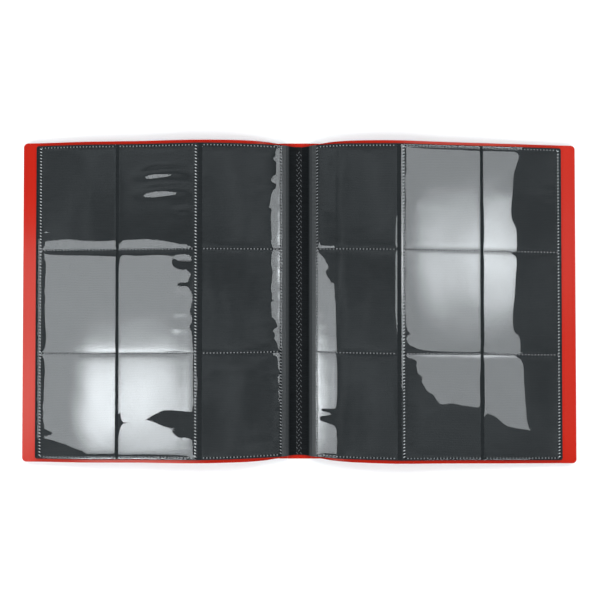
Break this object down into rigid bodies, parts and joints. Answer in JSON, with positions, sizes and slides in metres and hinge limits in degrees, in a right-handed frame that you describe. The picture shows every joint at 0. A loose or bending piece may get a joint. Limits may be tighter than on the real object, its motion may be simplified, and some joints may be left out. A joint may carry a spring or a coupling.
{
  "type": "trading card binder",
  "caption": "Soft plastic card binder lying open in the middle, with creased cover panels, a welded spine and clear side-loading pocket leaves.",
  "frame": {"origin": "on the table, under the middle of the spine, with the binder lying open", "axes": "+X across the open binder to the reader's right, +Y up the page along the spine, +Z away from the table"},
  "size_m": [0.512, 0.295, 0.0108],
  "materials": {
    "cover_plastic": "satin, fine grain",
    "weld_plastic": "knurled weld",
    "leaf_plastic": "satin, fine ribs",
    "pocket_film": "clear, glossy"
  },
  "bodies": {
    "spine": {"spine_panel": "cover_plastic", "weld_band": "weld_plastic"},
    "front_hinge": {"front_hinge_strip": "cover_plastic"},
    "front_cover": {"front_cover_panel": "cover_plastic"},
    "left_leaf_01": {"left_leaf_01_sheet": "leaf_plastic", "left_leaf_01_pockets": "pocket_film"},
    "left_leaf_02": {"left_leaf_02_sheet": "leaf_plastic", "left_leaf_02_pockets": "pocket_film"},
    "left_leaf_03": {"left_leaf_03_sheet": "leaf_plastic", "left_leaf_03_pockets": "pocket_film"},
    "left_leaf_04": {"left_leaf_04_sheet": "leaf_plastic", "left_leaf_04_pockets": "pocket_film"},
    "left_leaf_05": {"left_leaf_05_sheet": "leaf_plastic", "left_leaf_05_pockets": "pocket_film"},
    "left_leaf_06": {"left_leaf_06_sheet": "leaf_plastic", "left_leaf_06_pockets": "pocket_film"},
    "left_leaf_07": {"left_leaf_07_sheet": "leaf_plastic", "left_leaf_07_pockets": "pocket_film"},
    "left_leaf_08": {"left_leaf_08_sheet": "leaf_plastic", "left_leaf_08_pockets": "pocket_film"},
    "left_leaf_09": {"left_leaf_09_sheet": "leaf_plastic", "left_leaf_09_pockets": "pocket_film"},
    "left_leaf_10": {"left_leaf_10_sheet": "leaf_plastic", "left_leaf_10_pockets": "pocket_film"},
    "back_hinge": {"back_hinge_strip": "cover_plastic"},
    "back_cover": {"back_cover_panel": "cover_plastic"},
    "right_leaf_01": {"right_leaf_01_sheet": "leaf_plastic", "right_leaf_01_pockets": "pocket_film"},
    "right_leaf_02": {"right_leaf_02_sheet": "leaf_plastic", "right_leaf_02_pockets": "pocket_film"},
    "right_leaf_03": {"right_leaf_03_sheet": "leaf_plastic", "right_leaf_03_pockets": "pocket_film"},
    "right_leaf_04": {"right_leaf_04_sheet": "leaf_plastic", "right_leaf_04_pockets": "pocket_film"},
    "right_leaf_05": {"right_leaf_05_sheet": "leaf_plastic", "right_leaf_05_pockets": "pocket_film"},
    "right_leaf_06": {"right_leaf_06_sheet": "leaf_plastic", "right_leaf_06_pockets": "pocket_film"},
    "right_leaf_07": {"right_leaf_07_sheet": "leaf_plastic", "right_leaf_07_pockets": "pocket_film"},
    "right_leaf_08": {"right_leaf_08_sheet": "leaf_plastic", "right_leaf_08_pockets": "pocket_film"},
    "right_leaf_09": {"right_leaf_09_sheet": "leaf_plastic", "right_leaf_09_pockets": "pocket_film"},
    "right_leaf_10": {"right_leaf_10_sheet": "leaf_plastic", "right_leaf_10_pockets": "pocket_film"}
  },
  "joints": [
    {"name": "front_cover_close", "type": "hinge", "parent": "spine", "child": "front_hinge", "pos_m": [-0.011, 0, 0.0004], "axis": [0, 1, 0], "range_deg": [0, 90]},
    {"name": "front_cover_fold_back", "type": "hinge", "parent": "front_hinge", "child": "front_cover", "pos_m": [-0.019, 0, 0.0004], "axis": [0, 1, 0], "range_deg": [-90, 0]},
    {"name": "left_leaf_01_close", "type": "hinge", "parent": "spine", "child": "left_leaf_01", "pos_m": [-0.00675, 0, 0.00425], "axis": [0, 1, 0], "range_deg": [0, 90]},
    {"name": "left_leaf_02_close", "type": "hinge", "parent": "spine", "child": "left_leaf_02", "pos_m": [-0.00675, 0, 0.00425], "axis": [0, 1, 0], "range_deg": [0, 90]},
    {"name": "left_leaf_03_close", "type": "hinge", "parent": "spine", "child": "left_leaf_03", "pos_m": [-0.00675, 0, 0.00425], "axis": [0, 1, 0], "range_deg": [0, 90]},
    {"name": "left_leaf_04_close", "type": "hinge", "parent": "spine", "child": "left_leaf_04", "pos_m": [-0.00675, 0, 0.00425], "axis": [0, 1, 0], "range_deg": [0, 90]},
    {"name": "left_leaf_05_close", "type": "hinge", "parent": "spine", "child": "left_leaf_05", "pos_m": [-0.00675, 0, 0.00425], "axis": [0, 1, 0], "range_deg": [0, 90]},
    {"name": "left_leaf_06_close", "type": "hinge", "parent": "spine", "child": "left_leaf_06", "pos_m": [-0.00675, 0, 0.00425], "axis": [0, 1, 0], "range_deg": [0, 90]},
    {"name": "left_leaf_07_close", "type": "hinge", "parent": "spine", "child": "left_leaf_07", "pos_m": [-0.00675, 0, 0.00425], "axis": [0, 1, 0], "range_deg": [0, 90]},
    {"name": "left_leaf_08_close", "type": "hinge", "parent": "spine", "child": "left_leaf_08", "pos_m": [-0.00675, 0, 0.00425], "axis": [0, 1, 0], "range_deg": [0, 90]},
    {"name": "left_leaf_09_close", "type": "hinge", "parent": "spine", "child": "left_leaf_09", "pos_m": [-0.00675, 0, 0.00425], "axis": [0, 1, 0], "range_deg": [0, 90]},
    {"name": "left_leaf_10_turn", "type": "hinge", "parent": "left_leaf_09", "child": "left_leaf_10", "pos_m": [0, 0, 0.0109], "axis": [0, -1, 0], "range_deg": [-171, 0]},
    {"name": "back_cover_close", "type": "hinge", "parent": "spine", "child": "back_hinge", "pos_m": [0.011, 0, 0.0004], "axis": [0, -1, 0], "range_deg": [0, 90]},
    {"name": "back_cover_fold_back", "type": "hinge", "parent": "back_hinge", "child": "back_cover", "pos_m": [0.019, 0, 0.0004], "axis": [0, -1, 0], "range_deg": [-90, 0]},
    {"name": "right_leaf_01_close", "type": "hinge", "parent": "spine", "child": "right_leaf_01", "pos_m": [0.00675, 0, 0.00425], "axis": [0, -1, 0], "range_deg": [0, 90]},
    {"name": "right_leaf_02_close", "type": "hinge", "parent": "spine", "child": "right_leaf_02", "pos_m": [0.00675, 0, 0.00425], "axis": [0, -1, 0], "range_deg": [0, 90]},
    {"name": "right_leaf_03_close", "type": "hinge", "parent": "spine", "child": "right_leaf_03", "pos_m": [0.00675, 0, 0.00425], "axis": [0, -1, 0], "range_deg": [0, 90]},
    {"name": "right_leaf_04_close", "type": "hinge", "parent": "spine", "child": "right_leaf_04", "pos_m": [0.00675, 0, 0.00425], "axis": [0, -1, 0], "range_deg": [0, 90]},
    {"name": "right_leaf_05_close", "type": "hinge", "parent": "spine", "child": "right_leaf_05", "pos_m": [0.00675, 0, 0.00425], "axis": [0, -1, 0], "range_deg": [0, 90]},
    {"name": "right_leaf_06_close", "type": "hinge", "parent": "spine", "child": "right_leaf_06", "pos_m": [0.00675, 0, 0.00425], "axis": [0, -1, 0], "range_deg": [0, 90]},
    {"name": "right_leaf_07_close", "type": "hinge", "parent": "spine", "child": "right_leaf_07", "pos_m": [0.00675, 0, 0.00425], "axis": [0, -1, 0], "range_deg": [0, 90]},
    {"name": "right_leaf_08_close", "type": "hinge", "parent": "spine", "child": "right_leaf_08", "pos_m": [0.00675, 0, 0.00425], "axis": [0, -1, 0], "range_deg": [0, 90]},
    {"name": "right_leaf_09_close", "type": "hinge", "parent": "spine", "child": "right_leaf_09", "pos_m": [0.00675, 0, 0.00425], "axis": [0, -1, 0], "range_deg": [0, 90]},
    {"name": "right_leaf_10_turn", "type": "hinge", "parent": "right_leaf_09", "child": "right_leaf_10", "pos_m": [0, 0, 0.0109], "axis": [0, 1, 0], "range_deg": [-171, 0]}
  ],
  "couplings": [
    {"joint": "left_leaf_01_close", "follows": "front_cover_close", "ratio": 1},
    {"joint": "left_leaf_02_close", "follows": "front_cover_close", "ratio": 1},
    {"joint": "left_leaf_03_close", "follows": "front_cover_close", "ratio": 1},
    {"joint": "left_leaf_04_close", "follows": "front_cover_close", "ratio": 1},
    {"joint": "left_leaf_05_close", "follows": "front_cover_close", "ratio": 1},
    {"joint": "left_leaf_06_close", "follows": "front_cover_close", "ratio": 1},
    {"joint": "left_leaf_07_close", "follows": "front_cover_close", "ratio": 1},
    {"joint": "left_leaf_08_close", "follows": "front_cover_close", "ratio": 1},
    {"joint": "left_leaf_09_close", "follows": "front_cover_close", "ratio": 1},
    {"joint": "right_leaf_01_close", "follows": "back_cover_close", "ratio": 1},
    {"joint": "right_leaf_02_close", "follows": "back_cover_close", "ratio": 1},
    {"joint": "right_leaf_03_close", "follows": "back_cover_close", "ratio": 1},
    {"joint": "right_leaf_04_close", "follows": "back_cover_close", "ratio": 1},
    {"joint": "right_leaf_05_close", "follows": "back_cover_close", "ratio": 1},
    {"joint": "right_leaf_06_close", "follows": "back_cover_close", "ratio": 1},
    {"joint": "right_leaf_07_close", "follows": "back_cover_close", "ratio": 1},
    {"joint": "right_leaf_08_close", "follows": "back_cover_close", "ratio": 1},
    {"joint": "right_leaf_09_close", "follows": "back_cover_close", "ratio": 1}
  ]
}
